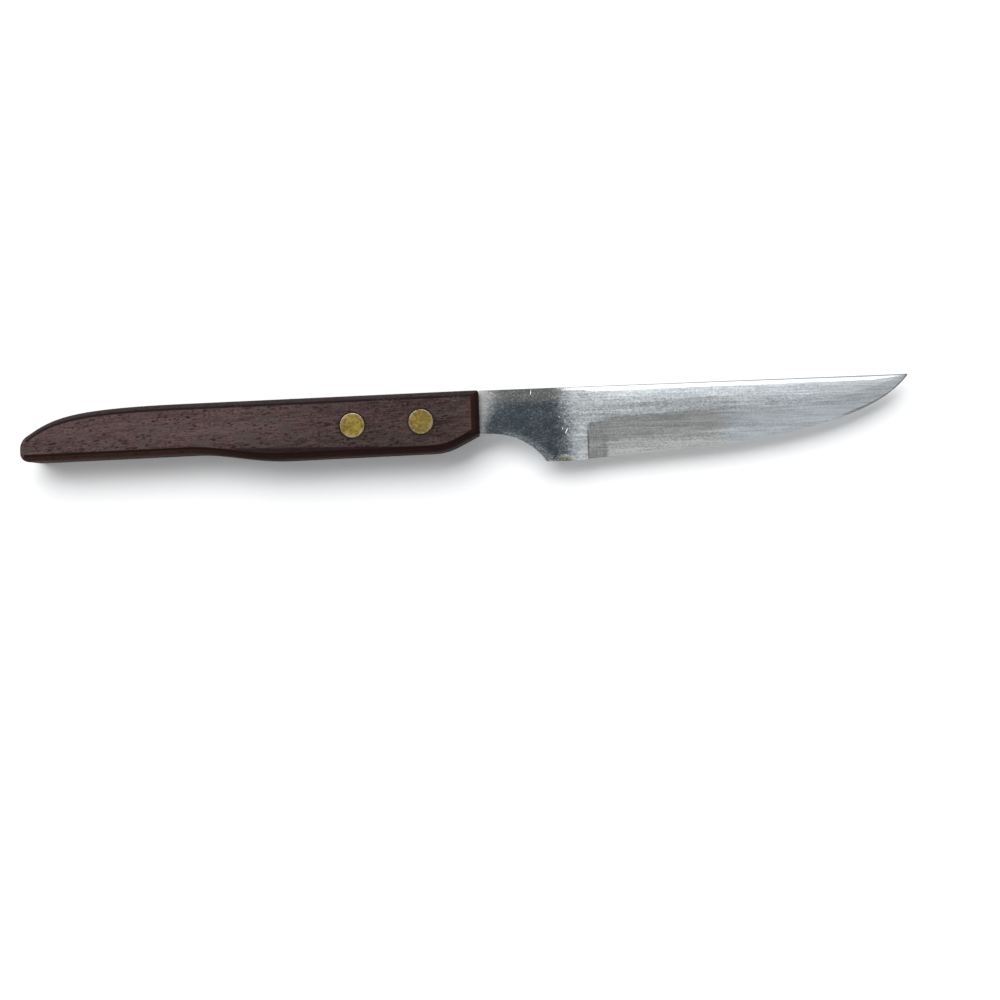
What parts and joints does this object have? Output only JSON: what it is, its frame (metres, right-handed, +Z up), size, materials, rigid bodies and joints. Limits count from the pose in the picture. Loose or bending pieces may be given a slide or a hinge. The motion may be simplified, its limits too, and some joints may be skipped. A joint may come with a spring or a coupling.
{
  "type": "steak knife",
  "caption": "Steak knife lying on its side: hollow-ground steel blade with a round choil, its short tang riveted with brass into a round-edged, one-piece dark wood handle.",
  "frame": {"origin": "under the middle of the knife's box, on the surface that it lies on", "axes": "+X along the spine from the butt to the tip, +Y from the cutting edge to the spine, +Z up through the handle's thickness"},
  "size_m": [0.2094, 0.0174, 0.01],
  "materials": {
    "blade_steel": "satin brushed lengthwise, polished at the ricasso",
    "handle_wood": "oiled dark rosewood with open pores",
    "rivet_brass": "sanded flush, slightly tarnished"
  },
  "bodies": {
    "root": {"blade": "blade_steel", "handle": "handle_wood", "front_rivet_post": "rivet_brass", "front_rivet_tube": "rivet_brass", "rear_rivet_post": "rivet_brass", "rear_rivet_tube": "rivet_brass"}
  },
  "joints": []
}
